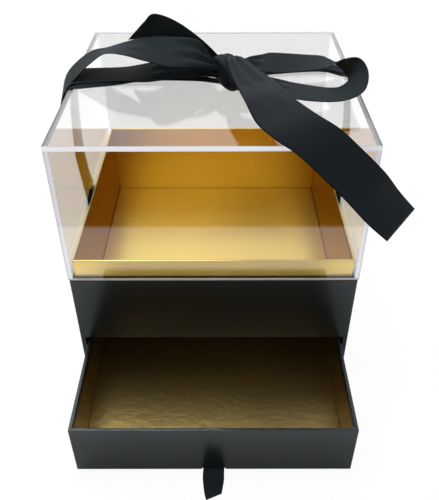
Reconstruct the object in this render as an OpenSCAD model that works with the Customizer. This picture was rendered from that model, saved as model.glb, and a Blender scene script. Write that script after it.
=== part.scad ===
// Gift box with a sliding drawer, a gold neck tray and a clear cover tied with a satin ribbon.
// Lengths are in millimetres and angles in degrees. X runs right, Y back and Z up.
// The origin is the middle of the square base's footprint, on the surface that it stands on.

/* [Base box] */
// Outer width and depth of the square base
box_w = 200; // [160:1:240]
// Height of the base, up to the rim that the cover stands on
box_h = 104; // [92:1:140]
// Thickness of the base's grey board
base_board = 2.7; // [2:0.1:3]
// Clear height of the drawer's mouth
mouth_h = 45.3; // [36:0.1:50]
// How far the deck's underside lies above the mouth's upper edge
deck_rise = 4.1; // [0.5:0.1:6]
// Radius of the covered box's upright corners
corner_r = 0.6; // [0.3:0.1:0.6]

/* [Covering papers] */
// Thickness of the black covering paper
wrap_t = 0.3; // [0.2:0.1:0.4]
// Width of the paper's margin turned into the base
base_turn_in = 12; // [8:1:20]
// Width of the paper's margin turned into the drawer
drawer_turn_in = 5; // [3:0.5:10]
// Thickness of the gold foil paper
foil_t = 0.2; // [0.1:0.1:0.3]

/* [Neck tray] */
// How far the neck tray's rim stands above the base's rim
neck_rise = 15.5; // [8:0.5:30]
// Gap between the neck tray and the base's walls
neck_gap = 0.75; // [0.5:0.05:1.5]
// Thickness of the neck tray's wall board
neck_board = 1.5; // [1:0.1:2]

/* [Drawer] */
// How far the drawer stands open
drawer_open = 81.5; // [0:0.5:150]
// Running gap on each side of the drawer
drawer_side_gap = 2.7; // [0.8:0.1:4]
// Running gap under the drawer
drawer_lift = 0.3; // [0.2:0.1:0.6]
// Gap between the drawer's rim and the mouth's upper edge
drawer_head_gap = 2; // [1:0.1:4]
// Gap behind the closed drawer
drawer_back_gap = 3; // [1:0.5:8]
// Thickness of the drawer's grey board
drawer_board = 2; // [1.5:0.1:2.5]
// Width of the drawer's pull ribbon
pull_w = 14.5; // [10:0.5:20]
// Length of the pull ribbon that shows in front of the drawer
pull_reach = 20; // [15:1:30]

/* [Clear cover] */
// Height of the clear cover
cover_h = 103.6; // [80:0.1:140]
// Thickness of the acrylic sheet
acrylic_t = 3; // [2:0.5:3]
// How far the cover's walls stand out beyond the base on each side
cover_proud = 0.6; // [0:0.1:1]

/* [Ribbon] */
// Width of the satin ribbon
ribbon_w = 28; // [22:1:32]
// Thickness of the ribbon
ribbon_t = 0.4; // [0.3:0.05:0.4]
// Length of ribbon folded up inside the cover
ribbon_fold = 12; // [8:1:20]
// Gap between the ribbon and the acrylic that it lies on
ribbon_lie = 0.1; // [0.05:0.05:0.2]
// Gap between the base's rim and the ribbon folded under the cover
cover_seat_gap = 0.2; // [0.1:0.1:0.4]

/* [Hidden] */
$fn = 48;

greyboard = "#6b6a66";
black_paper = "#1f2224";
gold_foil = "#c08a2a";
drawer_gold = "#5a4a20";
clear_acrylic = [0.86, 0.9, 0.92, 0.3];
black_satin = "#17181a";

// Base: half widths from the outside in, and heights from the bottom up
box_half = box_w / 2;
board_half = box_half - wrap_t;
bay_half = board_half - base_board;
mouth_half = bay_half - wrap_t;
mouth_low = base_board;
mouth_top = mouth_low + mouth_h;
deck_low = mouth_top + deck_rise;
deck_top = deck_low + base_board;

// Neck tray
neck_half = bay_half - neck_gap;
neck_board_half = neck_half - foil_t;
neck_hollow_half = neck_board_half - neck_board;
neck_inner_half = neck_hollow_half - foil_t;
neck_floor_top = deck_top + base_board;
neck_top = box_h + neck_rise;

// Drawer, at the place where it stands open
drawer_half = bay_half - drawer_side_gap;
drawer_board_half = drawer_half - wrap_t;
drawer_hollow_half = drawer_board_half - drawer_board;
drawer_inner_half = drawer_hollow_half - wrap_t;
drawer_depth = box_half + bay_half - drawer_back_gap;
drawer_front = -box_half - drawer_open;
drawer_mid = drawer_front + drawer_depth / 2;
drawer_long_half = drawer_depth / 2;
drawer_low = mouth_low + drawer_lift;
drawer_top = mouth_top - drawer_head_gap;
drawer_floor = drawer_low + drawer_board;

// The pull ribbon is folded double, and its end is glued into a recess under the drawer
pull_t = 2 * ribbon_t;
pull_slot = pull_t + 0.4;
pull_slot_half = pull_w / 2 + 1;
pull_glued = 15;

// Cover
cover_half = box_half + cover_proud;
cover_hollow_half = cover_half - acrylic_t;
cover_low = box_h + cover_seat_gap + ribbon_t + ribbon_lie;
cover_top = cover_low + cover_h;
cover_roof = cover_top - acrylic_t;

// The bow is drawn for a cover this far from middle to side and a ribbon this wide. A wider
// or narrower cover stretches it, and a wider or narrower ribbon raises or lowers it
drawn_cover_half = 100.6;
drawn_ribbon_w = 28;
bow_stretch = cover_half / drawn_cover_half;
bow_rise = ribbon_w / drawn_ribbon_w;

// Each station of the bow is [x, y, height above the cover, heading, lean, share of the width]:
// heading and lean give the direction from the ribbon's lower edge to its upper edge
loop_left_stations = [
    [0.2, -13, 15.5, 120, 22, 0.42],
    [-5, -11.5, 19, 102, 25, 0.68],
    [-13, -12, 22.6, 86, 25, 0.92],
    [-28, -12, 24, 85, 25, 1],
    [-45, -6, 22, 88, 15, 1],
    [-61, 2, 18, 92, 0, 1],
    [-76, 8, 15, 95, -12, 1],
    [-88, 9, 12, 95, -5, 1],
    [-99, 5, 8, 95, 0, 1],
    [-107, -2, 2, 95, 0, 1],
    [-110, -7, -5, 95, 0, 1],
    [-108, -9, -10, 92, 0, 1],
    [-105, -8, -6, 90, 0, 1],
    [-103, -4, 0, 90, 0, 1],
    [-98, 0, 2, 90, 0, 1],
    [-85, 3, 1.6, 90, 0, 1],
    [-65, 5, 1.6, 90, 0, 1],
    [-45, 5, 3.2, 90, 8, 1],
    [-25, 4, 6.2, 90, 18, 0.85],
    [-9, -2, 8.4, 98, 20, 0.62],
    [1, -13, 9, 120, 10, 0.42]
];
loop_right_stations = [
    [21.4, -10, 15.4, -70, 44, 0.56],
    [25.5, -6, 14.8, -100, 50, 0.78],
    [35, -3, 13.4, -118, 48, 1],
    [50, 0, 11.4, -115, 45, 1],
    [66, 3, 10.4, -105, 40, 1],
    [80, 3, 10.8, -100, 42, 1],
    [90, -2, 12, -95, 48, 1],
    [96, -12, 13, -80, 45, 1],
    [97, -26, 12, -70, 30, 1],
    [91, -40, 9, -65, 20, 1],
    [80, -49, 7.6, -75, 22, 1],
    [66, -51, 8.2, -85, 30, 1],
    [50, -47, 9.8, -95, 38, 1],
    [34, -34, 9, -100, 28, 0.85],
    [26.5, -20.5, 7.4, -85, 20, 0.6],
    [21.2, -12, 6.4, -60, 12, 0.4]
];
tail_left_stations = [
    [2, 4.5, 13, -65, 35, 0.5],
    [-12, 15, 17, -60, 45, 0.9],
    [-26, 17, 24, -55, 50, 1],
    [-38, 17, 29, -50, 55, 1],
    [-48, 18.5, 30.6, -50, 52, 1],
    [-55.5, 19, 27.4, -50, 39, 1]
];
tail_right_stations = [
    [13.5, -15, 21.3, 30, 0, 0.38],
    [16.5, -26, 20.4, 36, 0, 0.52],
    [19.5, -38, 19, 42, 0, 0.7],
    [22.5, -52, 18, 43, 0, 0.92],
    [29, -70, 19, 35, 5, 1],
    [38, -88, 16, 20, 20, 1],
    [48, -104, 14, 10, 28, 1],
    [60, -112, 9, 5, 32, 1],
    [74, -115, -3, 5, 34, 1],
    [90, -115, -19, 15, 34, 1],
    [104, -112, -36, 30, 32, 1],
    [118, -109, -51, 40, 30, 1]
];
bow_steps = 5;

// The knot is ribbon drawn tight round the gathered loops. Its half sizes run along the
// loops, across them and upwards
knot_at = [11.5, -15, 10.8];
knot_half = [7.5, 17, 9.5];
knot_heading = 30;
knot_dip = 15;
knot_pleats = 3;
knot_pleat_depth = 0.07;

// Straps: [distance out from the middle, y, share of the width] on the cover's top, and
// [share of the wall's height, y, share of the width] down its side
strap_left_top = [[14, 1, 0.4], [47, 5, 0.6], [68, 5, 0.8], [93, 3.5, 0.95]];
strap_left_wall = [[0.98, 3, 0.95], [0.85, -6, 1], [0.64, -14, 1], [0.39, -8, 0.95], [0.15, 0, 1]];
strap_right_top = [[27, 13, 0.5], [75, 18, 0.55], [93, 13, 0.9]];
strap_right_wall = [[0.98, 11, 0.95], [0.83, 4, 1], [0.64, -6, 1], [0.4, -6, 1], [0.1, -5, 1]];

module block(low, high) {
    translate(low) cube(high - low);
}

// Square plate about the Z axis with rounded upright corners
module rounded_plate(half_x, half_y, low, high) {
    straight_x = half_x - corner_r;
    straight_y = half_y - corner_r;
    translate([0, 0, low]) linear_extrude(high - low) union() {
        square([2 * half_x, 2 * straight_y], center = true);
        square([2 * straight_x, 2 * half_y], center = true);
        for (x = [-straight_x, straight_x], y = [-straight_y, straight_y]) {
            translate([x, y]) circle(corner_r);
        }
    }
}

// Wall that runs right round a rectangle
module wall_ring(half_x, half_y, thickness, low, high) {
    difference() {
        block([-half_x, -half_y, low], [half_x, half_y, high]);
        block([thickness - half_x, thickness - half_y, low - 1],
              [half_x - thickness, half_y - thickness, high + 1]);
    }
}

// Covering paper over the outside and the rim of a box, with its margin turned in
module paper_skin(half_x, half_y, board, low, high, margin) {
    rim = board + 2 * wrap_t;
    difference() {
        rounded_plate(half_x, half_y, low, high);
        block([wrap_t - half_x, wrap_t - half_y, low - 1],
              [half_x - wrap_t, half_y - wrap_t, high - wrap_t]);
        block([rim - half_x, rim - half_y, low - 1], [half_x - rim, half_y - rim, high + 1]);
    }
    inner_x = half_x - wrap_t - board;
    inner_y = half_y - wrap_t - board;
    wall_ring(inner_x, inner_y, wrap_t, high - margin, high - wrap_t);
}

function unit(v) = v / norm(v);

function width_direction(s) = [cos(s[4]) * cos(s[3]), cos(s[4]) * sin(s[3]), sin(s[4])];

function place(s) = [s[0], s[1], s[2]];

// Point of a smooth curve from b to c, whose neighbours are a and d
function between(a, b, c, d, t) =
    0.5 * (2 * b + (c - a) * t + (2 * a - 5 * b + 4 * c - d) * t * t
           + (3 * b - a - 3 * c + d) * t * t * t);

function smooth(points, steps) =
    let (last = len(points) - 1)
    let (ends = concat([2 * points[0] - points[1]], points, [2 * points[last] - points[last - 1]]))
    concat([for (i = [0 : last - 1], j = [0 : steps - 1])
                between(ends[i], ends[i + 1], ends[i + 2], ends[i + 3], j / steps)],
           [points[last]]);

// Direction that looks out of the ribbon's face between two of its crossings
function face_normal(here, there) =
    unit(cross(there[0] + there[1] - here[0] - here[1], here[0] - here[1] + there[0] - there[1]));

// Offset that keeps the ribbon's thickness where it bends
function half_thickness(crossings, i, thickness) =
    let (last = len(crossings) - 1)
    let (before = face_normal(crossings[max(i - 1, 0)], crossings[max(i, 1)]))
    let (after = face_normal(crossings[min(i, last - 1)], crossings[min(i + 1, last)]))
    let (middle = unit(before + after))
    middle * thickness / 2 / max(0.5, middle * before);

// Ribbon through stations of [x, y, z, heading, lean, width]
module ribbon(stations, steps, thickness) {
    upper = smooth([for (s = stations) place(s) + width_direction(s) * s[5] / 2], steps);
    lower = smooth([for (s = stations) place(s) - width_direction(s) * s[5] / 2], steps);
    crossings = [for (i = [0 : len(upper) - 1]) [upper[i], lower[i]]];
    points = [for (i = [0 : len(crossings) - 1])
                  let (out = half_thickness(crossings, i, thickness))
                  each [upper[i] + out, upper[i] - out, lower[i] - out, lower[i] + out]];
    end = len(points) - 4;
    // Both faces are split along the same diagonal, so that they can't cross where it twists
    sides = [for (i = [0 : 4 : end - 4])
                 each [[i, i + 1, i + 5], [i, i + 5, i + 4],
                       [i + 1, i + 2, i + 6], [i + 1, i + 6, i + 5],
                       [i + 2, i + 3, i + 7], [i + 2, i + 7, i + 6],
                       [i + 3, i, i + 7], [i, i + 4, i + 7]]];
    caps = [[3, 2, 1], [3, 1, 0], [end, end + 1, end + 2], [end, end + 2, end + 3]];
    polyhedron(points, concat(sides, caps));
}

module bow_ribbon(stations) {
    ribbon([for (s = stations) [s[0] * bow_stretch, s[1] * bow_stretch,
                                cover_top + s[2] * bow_rise, s[3], s[4], s[5] * ribbon_w]],
           bow_steps, ribbon_t);
}

// Strap from the knot over the cover's edge, down its wall, under the wall and up inside
module strap(side, top_run, wall_run) {
    lie = ribbon_lie + ribbon_t / 2;
    outside = cover_half + lie;
    inside = cover_hollow_half - lie;
    under = cover_low - lie;
    last = wall_run[len(wall_run) - 1];
    edge = top_run[len(top_run) - 1];
    top = [for (p = smooth(top_run, 3))
               [p[0] * bow_stretch, p[1] * bow_stretch, cover_top + lie, p[2]]];
    corner = [[outside, edge[1] * bow_stretch, cover_top + lie, edge[2]]];
    wall = [for (p = smooth(wall_run, 4))
                [outside, p[1] * bow_stretch, cover_low + p[0] * cover_h, p[2]]];
    fold = [for (p = [[outside, under], [inside, under], [inside, under + ribbon_fold]])
                [p[0], last[1] * bow_stretch, p[1], last[2]]];
    ribbon([for (p = concat(top, corner, wall, fold))
                [side * p[0], p[1], p[2], 90, 0, p[3] * ribbon_w]],
           1, ribbon_t);
}

module base_bottom_board() {
    color(greyboard) block([-bay_half, -board_half, 0], [bay_half, bay_half, base_board]);
}

module base_left_board() {
    color(greyboard)
        block([-board_half, -board_half, 0], [-bay_half, board_half, box_h - wrap_t]);
}

module base_right_board() {
    color(greyboard)
        block([bay_half, -board_half, 0], [board_half, board_half, box_h - wrap_t]);
}

module base_back_board() {
    color(greyboard) block([-bay_half, bay_half, 0], [bay_half, board_half, box_h - wrap_t]);
}

module base_front_rail() {
    color(greyboard)
        block([-bay_half, -board_half, mouth_top + wrap_t], [bay_half, -bay_half, box_h - wrap_t]);
}

module deck_board() {
    color(greyboard) block([-bay_half, -bay_half, deck_low], [bay_half, bay_half, deck_top]);
}

module base_wrap() {
    color(black_paper) {
        difference() {
            paper_skin(box_half, box_half, base_board, 0, box_h, base_turn_in);
            block([-mouth_half, -box_half - 1, mouth_low], [mouth_half, 0, mouth_top]);
        }
        for (side = [-1, 1]) {
            block([side > 0 ? mouth_half : -bay_half, -board_half, mouth_low],
                  [side > 0 ? bay_half : -mouth_half, base_turn_in - box_half, mouth_top + wrap_t]);
        }
        block([-mouth_half, -board_half, mouth_top], [mouth_half, -bay_half, mouth_top + wrap_t]);
        block([-mouth_half, -bay_half, mouth_top], [mouth_half, wrap_t - bay_half, deck_low]);
    }
}

module neck_floor_board() {
    color(greyboard)
        block([-neck_hollow_half, -neck_hollow_half, deck_top],
              [neck_hollow_half, neck_hollow_half, neck_floor_top]);
}

module neck_front_board() {
    color(greyboard)
        block([-neck_board_half, -neck_board_half, deck_top],
              [neck_board_half, -neck_hollow_half, neck_top - foil_t]);
}

module neck_back_board() {
    color(greyboard)
        block([-neck_board_half, neck_hollow_half, deck_top],
              [neck_board_half, neck_board_half, neck_top - foil_t]);
}

module neck_left_board() {
    color(greyboard)
        block([-neck_board_half, -neck_hollow_half, deck_top],
              [-neck_hollow_half, neck_hollow_half, neck_top - foil_t]);
}

module neck_right_board() {
    color(greyboard)
        block([neck_hollow_half, -neck_hollow_half, deck_top],
              [neck_board_half, neck_hollow_half, neck_top - foil_t]);
}

// Gold foil paper over the neck's outside, its rim, its inside and its floor
module neck_foil() {
    color(gold_foil) difference() {
        block([-neck_half, -neck_half, deck_top], [neck_half, neck_half, neck_top]);
        difference() {
            block([-neck_board_half, -neck_board_half, deck_top - 1],
                  [neck_board_half, neck_board_half, neck_top - foil_t]);
            block([-neck_hollow_half, -neck_hollow_half, neck_floor_top],
                  [neck_hollow_half, neck_hollow_half, neck_top]);
        }
        block([-neck_inner_half, -neck_inner_half, neck_floor_top + foil_t],
              [neck_inner_half, neck_inner_half, neck_top + 1]);
    }
}

// Notch and recess that the glued end of the pull ribbon lies in
module pull_recess() {
    block([-pull_slot_half, drawer_front - 1, drawer_low - 1],
          [pull_slot_half, drawer_front + pull_glued + 1, drawer_low + pull_slot]);
}

module drawer_bottom_board() {
    color(greyboard) difference() {
        block([-drawer_hollow_half, drawer_front + wrap_t + drawer_board, drawer_low],
              [drawer_hollow_half, drawer_front + drawer_depth - wrap_t - drawer_board,
               drawer_floor]);
        pull_recess();
    }
}

module drawer_front_board() {
    color(greyboard) difference() {
        block([-drawer_board_half, drawer_front + wrap_t, drawer_low],
              [drawer_board_half, drawer_front + wrap_t + drawer_board, drawer_top - wrap_t]);
        pull_recess();
    }
}

module drawer_back_board() {
    color(greyboard)
        block([-drawer_board_half, drawer_front + drawer_depth - wrap_t - drawer_board, drawer_low],
              [drawer_board_half, drawer_front + drawer_depth - wrap_t, drawer_top - wrap_t]);
}

module drawer_left_board() {
    color(greyboard)
        block([-drawer_board_half, drawer_front + wrap_t + drawer_board, drawer_low],
              [-drawer_hollow_half, drawer_front + drawer_depth - wrap_t - drawer_board,
               drawer_top - wrap_t]);
}

module drawer_right_board() {
    color(greyboard)
        block([drawer_hollow_half, drawer_front + wrap_t + drawer_board, drawer_low],
              [drawer_board_half, drawer_front + drawer_depth - wrap_t - drawer_board,
               drawer_top - wrap_t]);
}

module drawer_wrap() {
    color(black_paper) difference() {
        translate([0, drawer_mid, 0])
            paper_skin(drawer_half, drawer_long_half, drawer_board, drawer_low, drawer_top,
                       drawer_turn_in);
        pull_recess();
    }
}

// Gold paper on the drawer's floor and up its walls to the turned-in black margin
module drawer_lining() {
    lining_top = drawer_top - drawer_turn_in;
    inner_long = drawer_long_half - wrap_t - drawer_board;
    color(drawer_gold) translate([0, drawer_mid, 0]) {
        wall_ring(drawer_hollow_half, inner_long, wrap_t, drawer_floor, lining_top);
        block([-drawer_hollow_half, -inner_long, drawer_floor],
              [drawer_hollow_half, inner_long, drawer_floor + wrap_t]);
    }
}

// Folded ribbon loop that comes out under the drawer's front and lies on the table
module pull_ribbon() {
    in_slot = drawer_low + pull_slot / 2;
    on_table = pull_t / 2 + 0.2;
    stations = [
        [0, pull_glued, in_slot, 0, 0, pull_w],
        [0, 1, in_slot, 0, 0, pull_w],
        [-0.2, -3, in_slot - 1, 0, 0, pull_w],
        [-0.2, -7, on_table + 0.5, 2, 0, pull_w],
        [-0.2, 5 - pull_reach, on_table, 12, 0, pull_w - 2],
        [0.2, 1 - pull_reach, on_table + 0.3, 24, 0, pull_w - 3]
    ];
    color(black_satin)
        ribbon([for (s = stations) [s[0], drawer_front + s[1], s[2], s[3], s[4], s[5]]],
               4, pull_t);
}

module cover_top_panel() {
    color(clear_acrylic)
        block([-cover_half, -cover_half, cover_roof], [cover_half, cover_half, cover_top]);
}

module cover_front_panel() {
    color(clear_acrylic)
        block([-cover_half, -cover_half, cover_low], [cover_half, -cover_hollow_half, cover_roof]);
}

module cover_back_panel() {
    color(clear_acrylic)
        block([-cover_half, cover_hollow_half, cover_low], [cover_half, cover_half, cover_roof]);
}

module cover_left_panel() {
    color(clear_acrylic)
        block([-cover_half, -cover_hollow_half, cover_low],
              [-cover_hollow_half, cover_hollow_half, cover_roof]);
}

module cover_right_panel() {
    color(clear_acrylic)
        block([cover_hollow_half, -cover_hollow_half, cover_low],
              [cover_half, cover_hollow_half, cover_roof]);
}

module ribbon_strap_left() {
    color(black_satin) strap(-1, strap_left_top, strap_left_wall);
}

module ribbon_strap_right() {
    color(black_satin) strap(1, strap_right_top, strap_right_wall);
}

// How far the knot stands out at a share of its half length: it is drawn in towards its ends,
// with a groove on each side of every pleat
function knot_girth(share) =
    (1 - 0.25 * pow(share, 4))
    * (1 - knot_pleat_depth * (1 + cos(180 * knot_pleats * (share + 1))) / 2);

module bow_knot() {
    color(black_satin)
        translate([0, 0, cover_top]) scale([bow_stretch, bow_stretch, bow_rise])
            translate(knot_at) rotate([knot_dip, 0, knot_heading]) scale(knot_half)
                rotate([0, 90, 0]) rotate_extrude($fn = 32)
                    polygon([[0, -1], for (u = [-1 : 0.125 : 1]) [knot_girth(u), u], [0, 1]]);
}

module bow_loop_left() {
    color(black_satin) bow_ribbon(loop_left_stations);
}

module bow_loop_right() {
    color(black_satin) bow_ribbon(loop_right_stations);
}

module bow_tail_left() {
    color(black_satin) bow_ribbon(tail_left_stations);
}

module bow_tail_right() {
    color(black_satin) bow_ribbon(tail_right_stations);
}

base_bottom_board();
base_left_board();
base_right_board();
base_back_board();
base_front_rail();
deck_board();
base_wrap();
neck_floor_board();
neck_front_board();
neck_back_board();
neck_left_board();
neck_right_board();
neck_foil();
drawer_bottom_board();
drawer_front_board();
drawer_back_board();
drawer_left_board();
drawer_right_board();
drawer_wrap();
drawer_lining();
pull_ribbon();
cover_top_panel();
cover_front_panel();
cover_back_panel();
cover_left_panel();
cover_right_panel();
ribbon_strap_left();
ribbon_strap_right();
bow_knot();
bow_loop_left();
bow_loop_right();
bow_tail_left();
bow_tail_right();
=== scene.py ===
"""Looks of the gift box with a sliding drawer, a gold neck tray, a clear cover and a satin bow.

Sizes are in millimetres until MM turns them into metres. The box stands on the table at height
0, its front faces -y, and the drawer slides out towards -y."""

import math

import bmesh
import bpy
from mathutils import Matrix, Vector


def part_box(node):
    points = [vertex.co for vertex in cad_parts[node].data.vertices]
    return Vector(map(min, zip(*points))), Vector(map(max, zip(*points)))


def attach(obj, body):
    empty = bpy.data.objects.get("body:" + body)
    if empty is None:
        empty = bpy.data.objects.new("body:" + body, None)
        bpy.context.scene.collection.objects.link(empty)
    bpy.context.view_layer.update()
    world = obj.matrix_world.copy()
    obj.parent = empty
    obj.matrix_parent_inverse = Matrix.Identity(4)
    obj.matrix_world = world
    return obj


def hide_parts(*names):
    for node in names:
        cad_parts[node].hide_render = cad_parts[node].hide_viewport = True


MM = 0.001

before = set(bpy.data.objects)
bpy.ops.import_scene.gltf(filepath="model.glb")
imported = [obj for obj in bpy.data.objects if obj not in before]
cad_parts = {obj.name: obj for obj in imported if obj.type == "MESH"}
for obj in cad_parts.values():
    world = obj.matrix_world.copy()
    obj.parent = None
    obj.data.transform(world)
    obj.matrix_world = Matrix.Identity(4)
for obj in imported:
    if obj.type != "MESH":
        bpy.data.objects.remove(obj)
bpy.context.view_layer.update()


# Camera: where the photograph was taken from, in the box's own frame

CAMERA_AT = (5.1, -420.7, 381.2)
CAMERA_DOWN = 37.99
CAMERA_LEFT = 0.16
CAMERA_ROLL = 0.20
CAMERA_LENS = 44.03
CAMERA_SENSOR = 36
CAMERA_NEAREST = 10


def put_in_scene(name, data):
    """An object of a mesh, a lamp or a camera, linked to the scene."""
    thing = bpy.data.objects.new(name, data)
    bpy.context.scene.collection.objects.link(thing)
    return thing


def set_camera():
    data = bpy.data.cameras.new("camera")
    data.sensor_fit = "VERTICAL"
    data.sensor_height = CAMERA_SENSOR
    data.lens = CAMERA_LENS
    data.clip_start = CAMERA_NEAREST * MM
    camera = put_in_scene("camera", data)
    turn = Matrix.Rotation(math.radians(CAMERA_LEFT), 4, "Z")
    tilt = Matrix.Rotation(math.radians(90 - CAMERA_DOWN), 4, "X")
    roll = Matrix.Rotation(math.radians(-CAMERA_ROLL), 4, "Z")
    place = Matrix.Translation(Vector(CAMERA_AT) * MM)
    camera.matrix_world = place @ turn @ tilt @ roll
    bpy.context.scene.camera = camera


# Finishes

WHITE = (1, 1, 1, 1)
RIBBON_WIDTH = 28
ACRYLIC_IOR = 1.53
# How far apart the wave texture's bands lie at a scale of 1
WAVE_LENGTH = 2 * math.pi / 20


def linear(hex_colour):
    """The linear colour of an sRGB hex value."""
    channels = [int(hex_colour[i:i + 2], 16) / 255 for i in (1, 3, 5)]
    return [c / 12.92 if c <= 0.04045 else ((c + 0.055) / 1.055) ** 2.4 for c in channels] + [1]


def add(tree, kind, inputs=None, **settings):
    """Adds a node with its settings. Each input takes a value, or another node's output to link."""
    node = tree.nodes.new("ShaderNode" + kind)
    for name, value in settings.items():
        setattr(node, name, value)
    for name, value in (inputs or {}).items():
        if isinstance(value, bpy.types.NodeSocket):
            tree.links.new(value, node.inputs[name])
        else:
            node.inputs[name].default_value = value
    return node


def new_material(name):
    """A material with nothing in its node tree yet."""
    material = bpy.data.materials.new(name)
    material.use_nodes = True
    material.node_tree.nodes.clear()
    return material, material.node_tree


def finished(material, tree, lamps_pass=False, **inputs):
    """The material with its shader and output. Lamps can shine straight through it, a little
    dimmed, as they do through a clear sheet in life."""
    shader = add(tree, "BsdfPrincipled", {name.replace("_", " "): value
                                          for name, value in inputs.items()})
    surface = shader.outputs["BSDF"]
    if lamps_pass:
        passing = add(tree, "BsdfTransparent", {"Color": linear("#fafcfb")})
        path = add(tree, "LightPath")
        surface = add(tree, "MixShader", {0: path.outputs["Is Shadow Ray"], 1: surface,
                                          2: passing.outputs["BSDF"]}).outputs["Shader"]
    add(tree, "OutputMaterial", {"Surface": surface})
    return material


def laminated_black_paper():
    """Black paper with a fine pressed grain under a satin laminate, which mirrors pale
    surroundings softly and is otherwise nearly black."""
    material, tree = new_material("laminated_black_paper")
    grain_mm, grain_depth_mm = 0.6, 0.02
    cloud_mm = 45
    at = add(tree, "TexCoord")
    grain = add(tree, "TexNoise", {"Vector": at.outputs["Object"], "Scale": 1 / (grain_mm * MM),
                                   "Detail": 2.0})
    cloud = add(tree, "TexNoise", {"Vector": at.outputs["Object"], "Scale": 1 / (cloud_mm * MM),
                                   "Detail": 1.0})
    shade = add(tree, "Mix", {"Factor": cloud.outputs["Fac"], "A": linear("#121516"),
                              "B": linear("#181b1d")}, data_type="RGBA")
    bump = add(tree, "Bump", {"Height": grain.outputs["Fac"], "Strength": 0.5,
                              "Distance": grain_depth_mm * MM})
    return finished(material, tree, Base_Color=shade.outputs["Result"],
                    Normal=bump.outputs["Normal"], Roughness=0.24, IOR=1.53,
                    Specular_Tint=linear("#e8f6f9"))


def gold_foil(name, dark, pale, painted_side_shade, roughness, lacquer, crinkle_depth_mm):
    """Paper faced with gold metal foil: a broad soft metal sheen under a clear lacquer. Inside a
    tray the two side walls take a darker colour, which is painted shade."""
    material, tree = new_material(name)
    # The real grain is too fine to show in the render, and is drawn coarser
    grain_mm, grain_depth_mm = 1.1, 0.02
    crinkle_mm = 5
    cloud_mm = 35
    at = add(tree, "TexCoord")
    grain = add(tree, "TexNoise", {"Vector": at.outputs["Object"], "Scale": 1 / (grain_mm * MM),
                                   "Detail": 2.0})
    cloud = add(tree, "TexNoise", {"Vector": at.outputs["Object"], "Scale": 1 / (cloud_mm * MM),
                                   "Detail": 2.0})
    tint = add(tree, "Mix", {"Factor": cloud.outputs["Fac"], "A": linear(dark),
                             "B": linear(pale)}, data_type="RGBA")

    # Painted shade: 1 on walls facing the box's middle from the left or right, 0 elsewhere
    facing = add(tree, "SeparateXYZ", {"Vector": at.outputs["Normal"]})
    place = add(tree, "SeparateXYZ", {"Vector": at.outputs["Object"]})
    outward = add(tree, "Math", {0: facing.outputs["X"], 1: place.outputs["X"]},
                  operation="MULTIPLY")
    inward = add(tree, "Math", {0: outward.outputs["Value"], 1: -1 / MM}, operation="MULTIPLY",
                 use_clamp=True)
    side_shaded = add(tree, "Mix", {"Factor": inward.outputs["Value"], "A": tint.outputs["Result"],
                                "B": linear(painted_side_shade)}, data_type="RGBA")

    crinkles = add(tree, "TexNoise", {"Vector": at.outputs["Object"],
                                      "Scale": 1 / (crinkle_mm * MM), "Detail": 3.0})
    soft = add(tree, "Bump", {"Height": crinkles.outputs["Fac"], "Strength": 1.0,
                              "Distance": crinkle_depth_mm * MM})
    bump = add(tree, "Bump", {"Height": grain.outputs["Fac"], "Strength": 0.35,
                              "Distance": grain_depth_mm * MM, "Normal": soft.outputs["Normal"]})
    return finished(material, tree, Base_Color=side_shaded.outputs["Result"],
                    Normal=bump.outputs["Normal"], Metallic=1.0, Roughness=roughness,
                    Specular_Tint=linear(pale), Coat_Weight=lacquer, Coat_IOR=1.5,
                    Coat_Roughness=0.06)


def board(name, dark, pale):
    """Pressed waste-paper board: matt, with pale and dark fibre specks."""
    material, tree = new_material(name)
    speck_mm, fibre_depth_mm = 0.9, 0.05
    at = add(tree, "TexCoord")
    specks = add(tree, "TexNoise", {"Vector": at.outputs["Object"], "Scale": 1 / (speck_mm * MM),
                                    "Detail": 4.0})
    shade = add(tree, "MapRange", {"Value": specks.outputs["Fac"], "From Min": 0.35,
                                   "From Max": 0.65})
    colour = add(tree, "Mix", {"Factor": shade.outputs["Result"], "A": linear(dark),
                               "B": linear(pale)}, data_type="RGBA")
    bump = add(tree, "Bump", {"Height": specks.outputs["Fac"], "Strength": 0.5,
                              "Distance": fibre_depth_mm * MM})
    return finished(material, tree, Base_Color=colour.outputs["Result"],
                    Normal=bump.outputs["Normal"], Roughness=0.9)


def clear_acrylic():
    """Clear cast sheet: colourless, with a mirror-smooth face."""
    material, tree = new_material("clear_acrylic")
    return finished(material, tree, lamps_pass=True, Base_Color=linear("#fdfefe"), Roughness=0.0,
                    IOR=ACRYLIC_IOR, Transmission_Weight=1.0)


def polished_acrylic_edge():
    """Sawn and flame-polished edge of the clear sheet: where it faces the front it has a painted
    highlight and glow, and is grey where it is glued to the next sheet or faces away."""
    material, tree = new_material("polished_acrylic_edge")
    painted_glow = 0.55
    at = add(tree, "TexCoord")
    facing = add(tree, "SeparateXYZ", {"Vector": at.outputs["Normal"]})
    # Painted highlight and glow: edges that face the front are pale and glow, the others are grey
    front = add(tree, "Math", {0: facing.outputs["Y"], 1: -1.0}, operation="MULTIPLY",
                use_clamp=True)
    shade = add(tree, "Mix", {"Factor": front.outputs["Value"], "A": linear("#8e9096"),
                              "B": linear("#e6e6ea")}, data_type="RGBA")
    gathered = add(tree, "Math", {0: front.outputs["Value"], 1: painted_glow},
                   operation="MULTIPLY")
    return finished(material, tree, lamps_pass=True, Base_Color=shade.outputs["Result"],
                    Emission_Color=linear("#efedf2"), Emission_Strength=gathered.outputs["Value"],
                    Roughness=0.2, IOR=ACRYLIC_IOR, Transmission_Weight=0.2)


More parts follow.
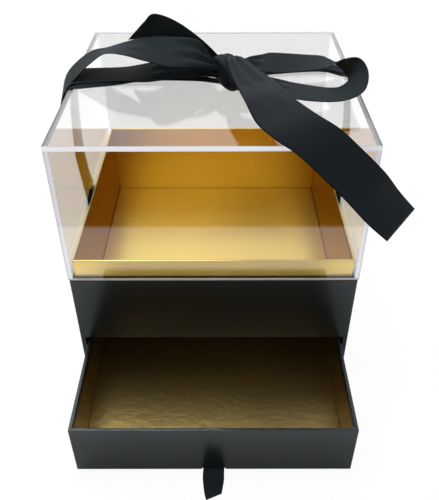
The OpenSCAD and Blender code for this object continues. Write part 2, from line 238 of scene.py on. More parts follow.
def black_satin():
    """Black polyester satin: floats along the ribbon give it a soft sheen that stretches
    across it, and a firmer woven selvedge runs down both edges."""
    material, tree = new_material("black_satin")
    # The real ribs of the weave are too fine to show in the render, and are drawn this far apart
    rib_mm, rib_depth_mm = 2.83, 0.03
    selvedge_mm = 0.8
    at = add(tree, "TexCoord")
    cloth = add(tree, "SeparateXYZ", {"Vector": at.outputs["UV"]})
    ribs = add(tree, "TexWave", {"Vector": at.outputs["UV"],
                                 "Scale": WAVE_LENGTH / (rib_mm * MM),
                                 "Distortion": 1.0, "Detail": 2.0},
               wave_type="BANDS", bands_direction="Y")
    from_middle = add(tree, "Math", {0: cloth.outputs["X"], 1: RIBBON_WIDTH / 2 * MM},
                      operation="SUBTRACT")
    outwards = add(tree, "Math", {0: from_middle.outputs["Value"]}, operation="ABSOLUTE")
    selvedge = add(tree, "Math", {0: outwards.outputs["Value"],
                                  1: (RIBBON_WIDTH / 2 - selvedge_mm) * MM},
                   operation="GREATER_THAN")
    shade = add(tree, "Mix", {"Factor": selvedge.outputs["Value"], "A": linear("#262c2f"),
                              "B": linear("#171b1d")}, data_type="RGBA")
    bump = add(tree, "Bump", {"Height": ribs.outputs["Fac"], "Strength": 0.2,
                              "Distance": rib_depth_mm * MM})
    along = add(tree, "Tangent", direction_type="UV_MAP")
    return finished(material, tree, Base_Color=shade.outputs["Result"],
                    Normal=bump.outputs["Normal"], Tangent=along.outputs["Tangent"],
                    Roughness=0.5, IOR=1.12, Anisotropic=0.5, Sheen_Weight=0.06,
                    Sheen_Roughness=0.4, Sheen_Tint=linear("#9fb0ba"))


BLACK_PAPER = laminated_black_paper()
# The third colour of each foil is painted shade for the side walls inside its tray
GOLD_FOIL = gold_foil("gold_foil_paper", "#eeca68", "#f4d272", painted_side_shade="#70491c",
                      roughness=0.28, lacquer=0.12, crinkle_depth_mm=0.04)
DRAWER_FOIL = gold_foil("dark_gold_foil_paper", "#b2965a", "#c8ae6e", painted_side_shade="#9c7c42",
                        roughness=0.34, lacquer=1.0, crinkle_depth_mm=0.25)
GREY_BOARD = board("grey_board", "#5d5a54", "#8a867c")
# Board painted dark brown as painted shade, which shows only in the seam round a tray's floor
SEAM_SHADE_BOARD = board("board_with_painted_seam_shade", "#1d1307", "#2c1e0c")
ACRYLIC = clear_acrylic()
ACRYLIC_EDGE = polished_acrylic_edge()
SATIN = black_satin()


# Making pieces

def new_mesh(name, vertices, faces, *finishes):
    """A mesh of vertices in millimetres, with its finishes."""
    mesh = bpy.data.meshes.new(name)
    mesh.from_pydata([Vector(v) * MM for v in vertices], [], faces)
    mesh.validate()
    for finish in finishes:
        mesh.materials.append(finish)
    return mesh


def face_outwards(mesh, eased=0):
    """Turns every face outwards, and rounds the edges by a given size."""
    form = bmesh.new()
    form.from_mesh(mesh)
    bmesh.ops.recalc_face_normals(form, faces=form.faces)
    if eased:
        bmesh.ops.bevel(form, geom=form.edges[:], offset=eased * MM, segments=2, profile=0.5,
                        affect="EDGES")
    form.to_mesh(mesh)
    form.free()


def new_piece(name, mesh, body, node):
    """A piece that rides on a body in place of a CAD node."""
    piece = put_in_scene(name, mesh)
    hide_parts(node)
    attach(piece, body)
    return piece


def solid_piece(name, shape, finish, body, node):
    """A piece made of the vertices and faces of a closed shape."""
    mesh = new_mesh(name, *shape, finish)
    face_outwards(mesh)
    return new_piece(name, mesh, body, node)


def box_mm(node):
    """The lowest and highest corner of a CAD node, in millimetres."""
    low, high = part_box(node)
    return low / MM, high / MM


def depth(low, high):
    """Half the depth between two corners, and where its middle lies."""
    return (high.y - low.y) / 2, (low.y + high.y) / 2


def thicknesses(outside, side_board):
    """How thick the paper over a side board is, and the wall with paper on both faces."""
    low, high = box_mm(side_board)
    paper = outside - high.x
    return paper, outside - low.x + paper


# Papered box walls: a profile of [inset from the outside, height] carried round four corners

CORNER_STEPS = 5
FOLD_RADIUS = 0.8
LEAST_RADIUS = 0.02
RIM_EASE = 0.5
NECK_RIM_EASE = 0.85
SHEET_EASE = 0.1


def outline(half_x, half_y, inset):
    """Points round a rectangle with rounded corners, drawn in from its outside by inset."""
    radius = max(FOLD_RADIUS - inset, LEAST_RADIUS)
    points = []
    for side_x, side_y, start in ((1, 1, 0), (-1, 1, 90), (-1, -1, 180), (1, -1, 270)):
        for step in range(CORNER_STEPS + 1):
            angle = math.radians(start + 90 * step / CORNER_STEPS)
            points.append((side_x * (half_x - inset - radius) + radius * math.cos(angle),
                           side_y * (half_y - inset - radius) + radius * math.sin(angle)))
    return points


def carried_round(half_x, half_y, middle_y, profile, closed=True):
    """Vertices and faces of a profile carried round; an open one is shut by its end faces."""
    vertices = []
    for inset, height in profile:
        vertices += [(x, y + middle_y, height) for x, y in outline(half_x, half_y, inset)]
    count = 4 * (CORNER_STEPS + 1)
    rings = len(profile)
    faces = []
    for ring in range(rings if closed else rings - 1):
        here, there = ring * count, (ring + 1) % rings * count
        faces += [(here + i, here + (i + 1) % count, there + (i + 1) % count, there + i)
                  for i in range(count)]
    if not closed:
        faces.append(tuple(range(count)))
        faces.append(tuple(range((rings - 1) * count, rings * count)))
    return vertices, faces


def rounded_rim(wall, top, radius, steps):
    """Profile over a wall's rim from outside to inside, with both edges eased."""
    turns = [math.radians(90 * step / steps) for step in range(steps + 1)]
    return [*((radius * (1 - math.cos(turn)), top - radius * (1 - math.sin(turn)))
              for turn in turns),
            *((wall - radius * (1 - math.sin(turn)), top - radius * (1 - math.cos(turn)))
              for turn in turns)]


def turned_in(paper, wall, low, rim, margin_low):
    """Profile of paper up the outside of a wall, over its rim and down inside to a margin."""
    return [(paper, low), (0, low), *rounded_rim(wall, rim, RIM_EASE, 3), (wall, margin_low),
            (wall - paper, margin_low), (wall - paper, rim - paper), (paper, rim - paper)]


def floor_sheet(half_x, half_y, middle_y, seam, low, high):
    """A sheet laid in the bottom of a tray, short of its walls by a seam."""
    profile = [(seam, low), (seam, high - SHEET_EASE), (seam + SHEET_EASE, high)]
    return carried_round(half_x, half_y, middle_y, profile, closed=False)


def block(low, high):
    """Vertices and faces of a square-edged block."""
    vertices = [(x, y, z) for x in (low[0], high[0]) for y in (low[1], high[1])
                for z in (low[2], high[2])]
    faces = [(0, 1, 3, 2), (4, 6, 7, 5), (0, 4, 5, 1), (2, 3, 7, 6), (0, 2, 6, 4), (1, 5, 7, 3)]
    return vertices, faces


def joined(*shapes):
    """Several sets of vertices and faces as one."""
    vertices, faces = [], []
    for more_vertices, more_faces in shapes:
        start = len(vertices)
        vertices += more_vertices
        faces += [tuple(start + i for i in face) for face in more_faces]
    return vertices, faces


def cut_away(piece, low, high):
    """Takes a block out of a piece."""
    mesh = new_mesh("cutter", *block(low, high))
    face_outwards(mesh)
    cutter = put_in_scene("cutter", mesh)
    modifier = piece.modifiers.new("cut", "BOOLEAN")
    modifier.operation = "DIFFERENCE"
    modifier.solver = "EXACT"
    modifier.object = cutter
    bpy.context.view_layer.update()
    evaluated = piece.evaluated_get(bpy.context.evaluated_depsgraph_get())
    left = bpy.data.meshes.new_from_object(evaluated)
    piece.modifiers.clear()
    piece.data = left
    bpy.data.objects.remove(cutter)


# How far the paper is turned in over the base's rim and round the mouth's sides
MARGIN = 12
# How far it is turned in under the rail
MARGIN_UNDER_RAIL = 0.9
# The pull's notch in the drawer's lower front edge: beside the pull, inwards and upwards
NOTCH_BESIDE = 0.8
NOTCH_IN = 2
NOTCH_UP = 1.2
CUT_BEYOND = 5


def paper_on_base():
    """The black paper round the base, turned in over its rim and into the drawer's mouth."""
    low, high = box_mm("base_wrap")
    paper, wall = thicknesses(high.x, "base_right_board")
    half = high.x - wall
    mouth_low = box_mm("base_bottom_board")[1].z
    mouth_top = box_mm("base_front_rail")[0].z - paper
    deck_low = box_mm("deck_board")[0].z
    profile = turned_in(paper, wall, low.z, high.z, high.z - MARGIN)
    piece = solid_piece("black_paper_on_base", carried_round(high.x, high.y, 0, profile),
                        BLACK_PAPER, "base", "base_wrap")
    cut_away(piece, (-half, low.y - CUT_BEYOND, mouth_low),
             (half, low.y + CUT_BEYOND, mouth_top))
    front, back = low.y + paper, low.y + wall
    left = block((-half - paper, front, mouth_low), (-half, front + MARGIN, mouth_top))
    right = block((half, front, mouth_low), (half + paper, front + MARGIN, mouth_top))
    under_rail = block((-half, front, mouth_top),
                       (half, front + MARGIN_UNDER_RAIL, mouth_top + paper))
    behind_rail = block((-half, back - paper, mouth_top), (half, back, deck_low))
    solid_piece("black_paper_in_mouth", joined(left, right, under_rail, behind_rail), BLACK_PAPER,
                "base", "base_wrap")


def paper_on_drawer():
    """The black paper round the drawer, turned in over its rim, notched for the pull ribbon."""
    low, high = box_mm("drawer_wrap")
    pull_low, pull_high = box_mm("pull_ribbon")
    paper, wall = thicknesses(high.x, "drawer_right_board")
    profile = turned_in(paper, wall, low.z, high.z, box_mm("drawer_lining")[1].z)
    piece = solid_piece("black_paper_on_drawer",
                        carried_round(high.x, *depth(low, high), profile),
                        BLACK_PAPER, "drawer", "drawer_wrap")
    notch_half = (pull_high.x - pull_low.x) / 2 + NOTCH_BESIDE
    cut_away(piece, (-notch_half, low.y - CUT_BEYOND, low.z - CUT_BEYOND),
             (notch_half, low.y + NOTCH_IN, low.z + NOTCH_UP))


# Gaps between a floor's foil and the foil on the walls round it
NECK_SEAM = 0.4
DRAWER_SEAM = 0.1
# The foil paper in the drawer
LINING = 0.3


def foil_on_neck():
    """The gold foil paper over the neck tray: outside, rim and inside walls, then its floor."""
    low, high = box_mm("neck_foil")
    foil, wall = thicknesses(high.x, "neck_right_board")
    floor = box_mm("neck_floor_board")[1].z
    under_rim = high.z - NECK_RIM_EASE
    profile = [(wall - foil, floor), (wall - foil, under_rim), (foil, under_rim), (foil, low.z),
               (0, low.z), *rounded_rim(wall, high.z, NECK_RIM_EASE, 5), (wall, floor)]
    solid_piece("gold_foil_on_neck", carried_round(high.x, high.y, 0, profile), GOLD_FOIL,
                "base", "neck_foil")
    sheet = floor_sheet(high.x - wall, high.y - wall, 0, NECK_SEAM, floor, floor + foil)
    solid_piece("gold_foil_on_neck_floor", sheet, GOLD_FOIL, "base",
                "neck_foil")


def foil_in_drawer():
    """The dark gold foil paper inside the drawer: a strip round its walls, then its floor."""
    low, high = box_mm("drawer_lining")
    half_y, middle_y = depth(low, high)
    floor = box_mm("drawer_bottom_board")[1].z
    profile = [(0, floor), (0, high.z), (LINING, high.z), (LINING, floor)]
    solid_piece("gold_foil_round_drawer", carried_round(high.x, half_y, middle_y, profile),
                DRAWER_FOIL, "drawer", "drawer_lining")
    sheet = floor_sheet(high.x - LINING, half_y - LINING, middle_y, DRAWER_SEAM, floor,
                        floor + LINING)
    solid_piece("gold_foil_on_drawer_floor", sheet, DRAWER_FOIL, "drawer",
                "drawer_lining")


# The cover's sheets: the gap that glue fills between two of them, and their eased edges
GLUE_LINE = 0.02
ACRYLIC_EASE = 0.3


def sheet_of_acrylic(node, glued_along):
    """One sheet of the cover: clear faces, and eased edges with a painted highlight and glow at the
    front. It is short by a glue line on the axes along which it meets the other sheets."""
    low, high = box_mm(node)
    gap = Vector(glued_along) * GLUE_LINE
    mesh = new_mesh(node, *block(low + gap, high - gap), ACRYLIC, ACRYLIC_EDGE)
    face_outwards(mesh, ACRYLIC_EASE)
    size = high - low
    thin = min(range(3), key=lambda axis: size[axis])
    for polygon in mesh.polygons:
        polygon.material_index = 0 if abs(polygon.normal[thin]) > 0.99 else 1
    new_piece("acrylic_" + node.replace("cover_", ""), mesh, "cover", node)


# Ribbons: stations like those of the CAD, some moved a little after the photograph, carried as
# two smooth edges

COVER_TOP = box_mm("cover_top_panel")[1].z
RIBBON_THICKNESS = 0.35
# Share of the thickness that is left at a ribbon's two edges
THIN_EDGE = 0.4
ACROSS = 24
STEPS = 8
# Pleats across a gathered ribbon, and the angle at which the first one starts
PLEATS = 2.5
FIRST_PLEAT = 0.8

# [x, y, height above the cover, heading, lean, share of the width]
LOOP_LEFT = [
    [0.2, -13, 15.5, 120, 22, 0.42],
    [-5, -11.5, 19, 102, 25, 0.68],
    [-13, -12, 22.6, 86, 25, 0.92],
    [-28, -12, 24, 85, 25, 1],
    [-45, -6, 24, 88, 15, 1],
    [-61, 2, 21.5, 92, 0, 1],
    [-76, 7, 18, 95, -10, 1],
    [-88, 8, 12.5, 95, 0, 1],
    [-98, 4, 5.5, 97, 4, 1],
    [-105, -3, -1, 98, 4, 1],
    [-108, -8, -8.5, 97, 2, 1],
    [-107, -9, -13, 92, 0, 1],
    [-104, -8, -8, 90, 0, 1],
    [-102.5, -4, -1, 90, 0, 1],
    [-98, 0, 2, 90, 0, 1],
    [-85, 3, 1.6, 90, 0, 1],
    [-65, 5, 1.6, 90, 0, 1],
    [-45, 5, 3.2, 90, 8, 1],
    [-25, 4, 6.2, 90, 18, 0.85],
    [-9, -2, 8.4, 98, 20, 0.62],
    [1, -13, 9, 120, 10, 0.42],
]
LOOP_RIGHT = [
    [21.4, -10, 15.4, -70, 20, 0.56],
    [25.5, -6, 14.8, -95, 6, 0.8],
    [35, -3, 13.4, -105, -6, 1],
    [50, 0, 11.4, -100, -8, 1],
    [66, 3, 10.4, -95, -3, 1],
    [80, 3, 10.8, -95, 5, 1],
    [90, -2, 12, -95, 32, 1],
    [96, -12, 13, -80, 45, 1],
    [97, -26, 12, -70, 34, 1],
    [91, -40, 9.5, -65, 16, 1],
    [80, -48, 9.4, -75, 6, 1],
    [66, -50, 10.6, -85, 2, 1],
    [50, -46, 11.4, -95, 2, 1],
    [34, -33, 10.6, -100, 6, 0.85],
    [26.5, -20.5, 8.6, -85, 12, 0.6],
    [21.2, -12, 6.4, -60, 12, 0.4],
]
TAIL_LEFT = [
    [2, 4.5, 13, -65, 35, 0.5],
    [-12, 15, 17, -60, 45, 0.9],
    [-26, 17, 24, -55, 50, 1],
    [-38, 17, 29, -50, 55, 1],
    [-48, 18.5, 30.6, -50, 52, 1],
    [-55.5, 19, 27.4, -50, 39, 1],
]
TAIL_RIGHT = [
    [13.5, -15, 21.3, 30, 0, 0.38],
    [17.5, -26, 20.4, 34, 0, 0.62],
    [22, -38, 19, 38, 0, 0.85],
    [27, -52, 18, 38, 0, 1],
    [31.5, -70, 18.5, 32, 5, 1],
    [38, -88, 16, 20, 20, 1],
    [48, -104, 14, 10, 28, 1],
    [60, -112, 9, 5, 32, 1],
    [74, -115, -3, 5, 34, 1],
    [90, -115, -19, 15, 34, 1],
    [104, -112, -36, 30, 32, 1],
    [118, -109, -51, 40, 30, 1],
]

# Each ribbon of the bow: how it is held, where its first and last ends go into the knot, and
# how high its pleats stand
BOW = {
    "loop_left": (LOOP_LEFT, "folded", (6, -13, 13), (7, -13, 9), 2.0),
    "loop_right": (LOOP_RIGHT, "folded", (15, -12, 12), (15, -14, 8), 1.5),
    "tail_left": (TAIL_LEFT, "draped", (6, -6, 12), None, 0.8),
    "tail_right": (TAIL_RIGHT, "draped", (11.5, -7, 15), None, 0.5),
}
SHARE_IN_KNOT = 0.34

# Straps, from the knot outwards: [distance out, y, share of the width] on the cover's top,
# then [share of the cover's height, y, share of the width] down its wall
STRAP_LEFT_TOP = [[-8, -7, 0.25], [2, -4, 0.25], [14, 0, 0.35], [47, 4, 0.6], [68, -1, 0.8],
                  [93, -5, 0.95]]
STRAP_LEFT_WALL = [[0.98, -6, 0.95], [0.85, -15, 1], [0.64, -20, 1], [0.39, -15, 0.95],
                   [0.15, -7, 1]]
STRAP_RIGHT_TOP = [[14, -8, 0.3], [27, 8, 0.5], [75, 18, 0.55], [93, 13, 0.9]]
STRAP_RIGHT_WALL = [[0.98, 11, 0.95], [0.83, 4, 1], [0.64, -6, 1], [0.4, -6, 1], [0.1, -5, 1]]
STRAP_PLEAT = 0.5
# Air under a strap, the radius at which it turns over the cover's edge, in how many steps, and
# how far it is folded up inside
STRAP_LIE = 0.1
STRAP_TURN = 0.6
STRAP_TURN_STEPS = 4
STRAP_FOLDED_IN = 12

# The drawer's pull: [x, y from the drawer's front, height, heading, width]
PULL = [
    [0, 15, 3.6, 0, 14.5],
    [0, 1, 3.6, 0, 14.5],
    [-0.2, -3, 2.6, 0, 14.5],
    [-0.2, -7, 1.1, 2, 14.5],
    [-0.2, -15, 0.6, 12, 12.5],
    [0.2, -19, 0.9, 24, 11.5],
]
PULL_WIDTH = 14.5
PULL_LAYER = 0.36
PULL_STEPS = 4
# Half the gap between its two layers, and the share of it that is left in the fold
PULL_GAP = 0.02
PULL_FOLD = 0.7

# The knot's middle, its half sizes along the loops, across them and upwards, and its turn
KNOT_AT = (11.5, -15, 10.8)
KNOT_HALF = (7.5, 17, 9.5)
KNOT_HEADING = 30
KNOT_DIP = 15
KNOT_STEPS_ALONG = 48
KNOT_STEPS_ROUND = 64
# Its pleats, how far they wander round it, how deep they are as a share of its girth, how sharp
# the valleys are between them, and how much its girth falls towards the two ends
KNOT_PLEATS = 3
KNOT_WANDER = 0.12
KNOT_PLEAT_DEPTH = 0.1
KNOT_SHARPNESS = 0.6
KNOT_TAPER = 0.25


def width_direction(heading, lean):
    """The direction across a ribbon."""
    turn, tilt = math.radians(heading), math.radians(lean)
    return Vector((math.cos(tilt) * math.cos(turn), math.cos(tilt) * math.sin(turn),
                   math.sin(tilt)))


def smooth(points, steps):
    """A smooth curve through points, with the given number of steps from one to the next."""
    ends = [2 * points[0] - points[1], *points, 2 * points[-1] - points[-2]]
    curve = []
    for a, b, c, d in zip(ends, ends[1:], ends[2:], ends[3:]):
        for step in range(steps):
            t = step / steps
            curve.append(0.5 * (2 * b + (c - a) * t + (2 * a - 5 * b + 4 * c - d) * t * t
                                + (3 * b - a - 3 * c + d) * t ** 3))
    return curve + [points[-1]]


def ribbon_shape(upper, lower, thickness, width, highest_pleat, raised=0):
    """Vertices, faces and cloth coordinates of a ribbon between two edge curves, and its length.

    Where the edges draw together, the cloth between them stands in pleats that take up its
    full width, up to the highest pleat. Raised pleats stand on one side of the ribbon only."""
    count = len(upper)
    middles = [(a + b) / 2 for a, b in zip(upper, lower)]
    along = [0]
    for a, b in zip(middles, middles[1:]):
        along.append(along[-1] + (b - a).length)
    vertices, cloth = [], []
    for i in range(count):
        ahead = middles[min(i + 1, count - 1)] - middles[max(i - 1, 0)]
        across = upper[i] - lower[i]
        out = ahead.cross(across).normalized()
        spread = min(1, across.length / width)
        pleat = across.length / PLEATS / (2 * math.pi) * math.sqrt(2 * (1 / spread ** 2 - 1))
        pleat = min(pleat, highest_pleat)
        for side in (1, -1):
            for j in range(ACROSS + 1):
                share = j / ACROSS
                wave = math.cos(2 * math.pi * PLEATS * share + FIRST_PLEAT)
                half = thickness / 2 * (THIN_EDGE if j in (0, ACROSS) else 1)
                offset = pleat * (wave + raised) + side * half
                vertices.append(lower[i] + across * share + out * offset)
                cloth.append((share * width * MM, along[i] * MM))
    back = ACROSS + 1
    ring = 2 * back
    faces = []
    for i in range(count - 1):
        here, there = i * ring, (i + 1) * ring
        for j in range(ACROSS):
            faces.append((here + j, here + j + 1, there + j + 1, there + j))
            faces.append((here + back + j, there + back + j, there + back + j + 1,
                          here + back + j + 1))
        for j in (0, ACROSS):
            faces.append((here + j, there + j, there + back + j, here + back + j))
    for start in (0, (count - 1) * ring):
        for j in range(ACROSS):
            faces.append((start + j, start + j + 1, start + back + 1 + j, start + back + j))
    return vertices, faces, cloth, along[-1]


def satin_piece(name, vertices, faces, cloth, body, node):
    """A piece of satin, with its cloth coordinates as the UV map that the weave follows."""
    mesh = new_mesh(name, vertices, faces, SATIN)
    layer = mesh.uv_layers.new(name="cloth")
    for loop in mesh.loops:
        layer.data[loop.index].uv = cloth[loop.vertex_index]
    mesh.shade_smooth()
    face_outwards(mesh)
    return new_piece(name, mesh, body, node)


def bow_ribbon(name, stations, held, first_end, last_end, highest_pleat):
    """A ribbon of the bow, whose gathered ends go on into the knot."""
    stations = [[*first_end, *stations[0][3:5], SHARE_IN_KNOT], *stations]
    if last_end:
        stations.append([*last_end, *stations[-1][3:5], SHARE_IN_KNOT])
    rails = [smooth([Vector((x, y, COVER_TOP + z))
                     + width_direction(heading, lean) * side * share * RIBBON_WIDTH / 2
                     for x, y, z, heading, lean, share in stations], STEPS) for side in (1, -1)]
    vertices, faces, cloth, length = ribbon_shape(*rails, RIBBON_THICKNESS, RIBBON_WIDTH,
                                                  highest_pleat)
    piece = satin_piece("satin_" + name, vertices, faces, cloth, "cover", "bow_" + name)


def strap(name, side, top_run, wall_run):
    """Strap from the knot over the cover's edge, down its wall, under the wall and up inside."""
    low, high = box_mm("cover_right_panel")
    lie = STRAP_LIE + RIBBON_THICKNESS / 2
    outside, inside = high.x + lie, low.x - lie
    top, under = COVER_TOP + lie, low.z - lie
    path = [(out, y, top, share) for out, y, share in smooth([Vector(p) for p in top_run], STEPS)]
    y, share = path[-1][1], path[-1][3]
    for step in range(1, STRAP_TURN_STEPS + 1):
        angle = math.radians(90 * step / STRAP_TURN_STEPS)
        path.append((outside - STRAP_TURN * (1 - math.sin(angle)), y,
                     top - STRAP_TURN * (1 - math.cos(angle)), share))
    path += [(outside, y, low.z + up * (COVER_TOP - low.z), share)
             for up, y, share in smooth([Vector(p) for p in wall_run], STEPS)]
    y, share = path[-1][1], path[-1][3]
    path += [(outside, y, under, share), (inside, y, under, share),
             (inside, y, under + STRAP_FOLDED_IN, share)]
    rails = [[Vector((side * out, y + edge * share * RIBBON_WIDTH / 2, z))
              for out, y, z, share in path] for edge in (side, -side)]
    vertices, faces, cloth, length = ribbon_shape(*rails, RIBBON_THICKNESS, RIBBON_WIDTH,
                                                  STRAP_PLEAT, raised=1)
    piece = satin_piece("satin_" + name, vertices, faces, cloth, "cover", "ribbon_" + name)


def pull_loop():
    """The drawer's pull: a ribbon folded double, with a slanted fold at its end."""
    front = box_mm("drawer_wrap")[0].y
    apart = Vector((0, 0, PULL_LAYER / 2 + PULL_GAP))
    fold = Vector((0, -PULL_LAYER / 2, 0))
    rails = []
    for side in (1, -1):
        rail = smooth([Vector((x, front + y, z)) + width_direction(heading, 0) * side * width / 2
                       for x, y, z, heading, width in PULL], PULL_STEPS)
        rails.append([p - apart for p in rail]
                     + [rail[-1] + fold - apart * PULL_FOLD, rail[-1] + fold + apart * PULL_FOLD]
                     + [p + apart for p in reversed(rail)])
    vertices, faces, cloth, length = ribbon_shape(*rails, PULL_LAYER, PULL_WIDTH, 0.0)
    piece = satin_piece("satin_pull", vertices, faces, cloth, "drawer", "pull_ribbon")


def knot_of_ribbon():
    """The ribbon drawn tight round the gathered loops, in soft pleats with sharp valleys."""
    turn = Matrix.Rotation(math.radians(KNOT_HEADING), 3, "Z") @ Matrix.Rotation(
        math.radians(KNOT_DIP), 3, "X")
    middle = Vector(KNOT_AT) + Vector((0, 0, COVER_TOP))
    vertices, cloth = [], []
    for i in range(KNOT_STEPS_ALONG + 1):
        share = 2 * i / KNOT_STEPS_ALONG - 1
        for j in range(KNOT_STEPS_ROUND):
            angle = 2 * math.pi * j / KNOT_STEPS_ROUND
            place = KNOT_PLEATS * (share + 1) / 2 + KNOT_WANDER * math.sin(angle + 1)
            pleat = abs(math.sin(math.pi * place)) ** KNOT_SHARPNESS
            girth = (1 - KNOT_TAPER * share ** 4) * (1 - KNOT_PLEAT_DEPTH * (1 - pleat))
            vertices.append(middle + turn @ Vector((share * KNOT_HALF[0],
                                                    girth * KNOT_HALF[1] * math.cos(angle),
                                                    girth * KNOT_HALF[2] * math.sin(angle))))
            cloth.append(((share + 1) * RIBBON_WIDTH / 2 * MM, angle * KNOT_HALF[1] * MM))
    faces = []
    for i in range(KNOT_STEPS_ALONG):
        here, there = i * KNOT_STEPS_ROUND, (i + 1) * KNOT_STEPS_ROUND
        for j in range(KNOT_STEPS_ROUND):
            k = (j + 1) % KNOT_STEPS_ROUND
            faces.append((here + j, here + k, there + k, there + j))
    faces.append(tuple(range(KNOT_STEPS_ROUND)))
    faces.append(tuple(KNOT_STEPS_ALONG * KNOT_STEPS_ROUND + j for j in range(KNOT_STEPS_ROUND)))
    satin_piece("satin_knot", vertices, faces, cloth, "cover", "bow_knot")


# Stage, lamp and world

TABLE_SIZE = 6000
# Where the table ends in front of the box
TABLE_EDGE = -307
# How bright the table's white is to the eye and through the cover, and the share of its real
# light and shadow that this white hides
SEEN_WHITE = 1.06
SEEN_THROUGH_COVER = 0.79
SHADOW_LEFT_OUT = 0.88
# What mirrors see besides the lit table: a glow that starts and is full this far from the box
MIRRORED_GLOW = 0.5
GLOW_STARTS = 20
GLOW_FULL = 50

# How bright the world is where it lights the box, in mirrors, through the cover and to the eye
WORLD_LIGHTS = 0.45
WORLD_MIRRORED = 1.15
WORLD_THROUGH_COVER = 0.87
WORLD_SEEN = 1.0

# One broad lamp above the box and behind it, in metres
LAMP_AT = (-0.3, 0.35, 1.4)
LAMP_TOWARDS = (0, -0.05, 0.1)
LAMP_WIDTH = 1.2
LAMP_DEPTH = 1.0
LAMP_RADIANCE = 2.5


def by_ray(tree, path, lighting, mirrored, through, seen):
    """Joins what lights the box, what mirrors show, what shows through the clear cover and what
    the eye sees."""
    surface = lighting
    for ray, shader in (("Is Glossy Ray", mirrored), ("Is Transmission Ray", through),
                        ("Is Camera Ray", seen)):
        surface = add(tree, "MixShader", {0: path.outputs[ray], 1: surface,
                                          2: shader}).outputs["Shader"]
    return surface


def white_table():
    """White painted table top. The eye sees it plain white with a faint shadow. Mirrors see it
    lit, with its shadows, bright away from the box and ending at its front edge, with the unlit
    room beyond. Through the clear cover it is a shade greyer."""
    low, high = box_mm("drawer_wrap")
    half_deep, middle_y = depth(low, box_mm("base_wrap")[1])
    material, tree = new_material("white_table")
    lit = add(tree, "BsdfDiffuse", {"Color": linear("#f6f6f6")}).outputs["BSDF"]
    seen, through = [
        add(tree, "MixShader", {
            0: SHADOW_LEFT_OUT, 1: lit,
            2: add(tree, "Emission", {"Color": WHITE, "Strength": strength}).outputs["Emission"],
        }).outputs["Shader"] for strength in (SEEN_WHITE, SEEN_THROUGH_COVER)]

    # How far a spot lies outside the rectangle that the base and the open drawer stand over
    at = add(tree, "NewGeometry")
    place = add(tree, "SeparateXYZ", {"Vector": at.outputs["Position"]})
    outside = []
    for axis, middle, half in (("X", 0, high.x), ("Y", middle_y, half_deep)):
        off = add(tree, "Math", {0: place.outputs[axis], 1: middle * MM}, operation="SUBTRACT")
        aside = add(tree, "Math", {0: off.outputs["Value"]}, operation="ABSOLUTE")
        past = add(tree, "Math", {0: aside.outputs["Value"], 1: half * MM}, operation="SUBTRACT")
        outside.append(past.outputs["Value"])
    away = add(tree, "Math", {0: outside[0], 1: outside[1]}, operation="MAXIMUM")

    strength = add(tree, "MapRange", {"Value": away.outputs["Value"],
                                      "From Min": GLOW_STARTS * MM, "From Max": GLOW_FULL * MM,
                                      "To Max": MIRRORED_GLOW}, interpolation_type="SMOOTHSTEP")
    glow = add(tree, "Emission", {"Color": WHITE, "Strength": strength.outputs["Result"]})
    bright = add(tree, "AddShader", {0: lit, 1: glow.outputs["Emission"]})
    dark = add(tree, "BsdfDiffuse", {"Color": linear("#101010")})
    on_table = add(tree, "Math", {0: place.outputs["Y"], 1: TABLE_EDGE * MM},
                   operation="GREATER_THAN")
    mirrored = add(tree, "MixShader", {0: on_table.outputs["Value"], 1: dark.outputs["BSDF"],
                                       2: bright.outputs["Shader"]}).outputs["Shader"]

    # Light that was mirrored inside the cover's sheet leaves it as a transmission ray
    path = add(tree, "LightPath")
    inside_sheet = add(tree, "Math", {0: path.outputs["Glossy Depth"], 1: 1.0},
                       operation="MINIMUM")
    by_sheet = add(tree, "MixShader", {0: inside_sheet.outputs["Value"], 1: through,
                                       2: mirrored}).outputs["Shader"]
    add(tree, "OutputMaterial", {"Surface": by_ray(tree, path, lit, mirrored, by_sheet, seen)})
    return material


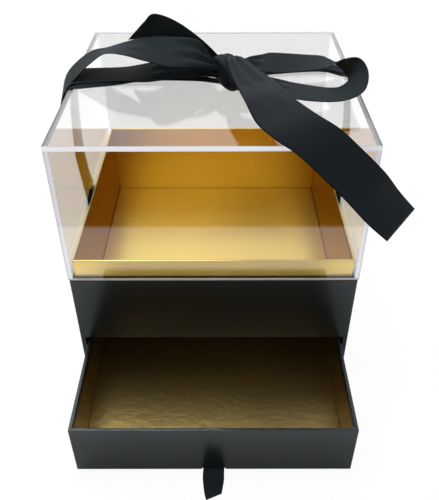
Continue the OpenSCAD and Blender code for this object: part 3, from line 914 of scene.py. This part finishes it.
def set_stage():
    half = TABLE_SIZE / 2
    corners = [(-half, -half, 0), (half, -half, 0), (half, half, 0), (-half, half, 0)]
    table = put_in_scene("table", new_mesh("table", corners, [(0, 1, 2, 3)], white_table()))


def set_lamp():
    """The lamp, whose power follows from how bright its face is."""
    data = bpy.data.lights.new("overhead_softbox", "AREA")
    data.shape = "RECTANGLE"
    data.size = LAMP_WIDTH
    data.size_y = LAMP_DEPTH
    data.energy = LAMP_RADIANCE * math.pi * LAMP_WIDTH * LAMP_DEPTH
    lamp = put_in_scene("overhead_softbox", data)
    lamp.location = LAMP_AT
    away = Vector(LAMP_AT) - Vector(LAMP_TOWARDS)
    lamp.rotation_euler = away.to_track_quat("Z", "Y").to_euler()


def set_world():
    world = bpy.data.worlds.new("studio")
    bpy.context.scene.world = world
    world.use_nodes = True
    tree = world.node_tree
    tree.nodes.clear()
    skies = [add(tree, "Background", {"Color": WHITE, "Strength": strength}).outputs["Background"]
             for strength in (WORLD_LIGHTS, WORLD_MIRRORED, WORLD_THROUGH_COVER, WORLD_SEEN)]
    path = add(tree, "LightPath")
    add(tree, "OutputWorld", {"Surface": by_ray(tree, path, *skies)})


def finish_boards():
    """The CAD's own boards, which hardly show under the paper and foil."""
    for name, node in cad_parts.items():
        if name.endswith(("_board", "_rail")):
            node.data.materials.clear()
            node.data.materials.append(GREY_BOARD)
    # Painted shade: the floor boards are dark, so the seams round the trays' floors look dark
    for name in ("neck_floor_board", "drawer_bottom_board"):
        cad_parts[name].data.materials[0] = SEAM_SHADE_BOARD


bpy.context.scene.view_settings.view_transform = "Standard"
set_camera()
set_stage()
set_lamp()
set_world()
finish_boards()
paper_on_base()
paper_on_drawer()
foil_on_neck()
foil_in_drawer()
for panel in ("cover_top_panel", "cover_front_panel", "cover_back_panel"):
    sheet_of_acrylic(panel, (0, 0, 1))
for panel in ("cover_left_panel", "cover_right_panel"):
    sheet_of_acrylic(panel, (0, 1, 1))
for ribbon, tied in BOW.items():
    bow_ribbon(ribbon, *tied)
strap("strap_left", -1, STRAP_LEFT_TOP, STRAP_LEFT_WALL)
strap("strap_right", 1, STRAP_RIGHT_TOP, STRAP_RIGHT_WALL)
pull_loop()
knot_of_ribbon()
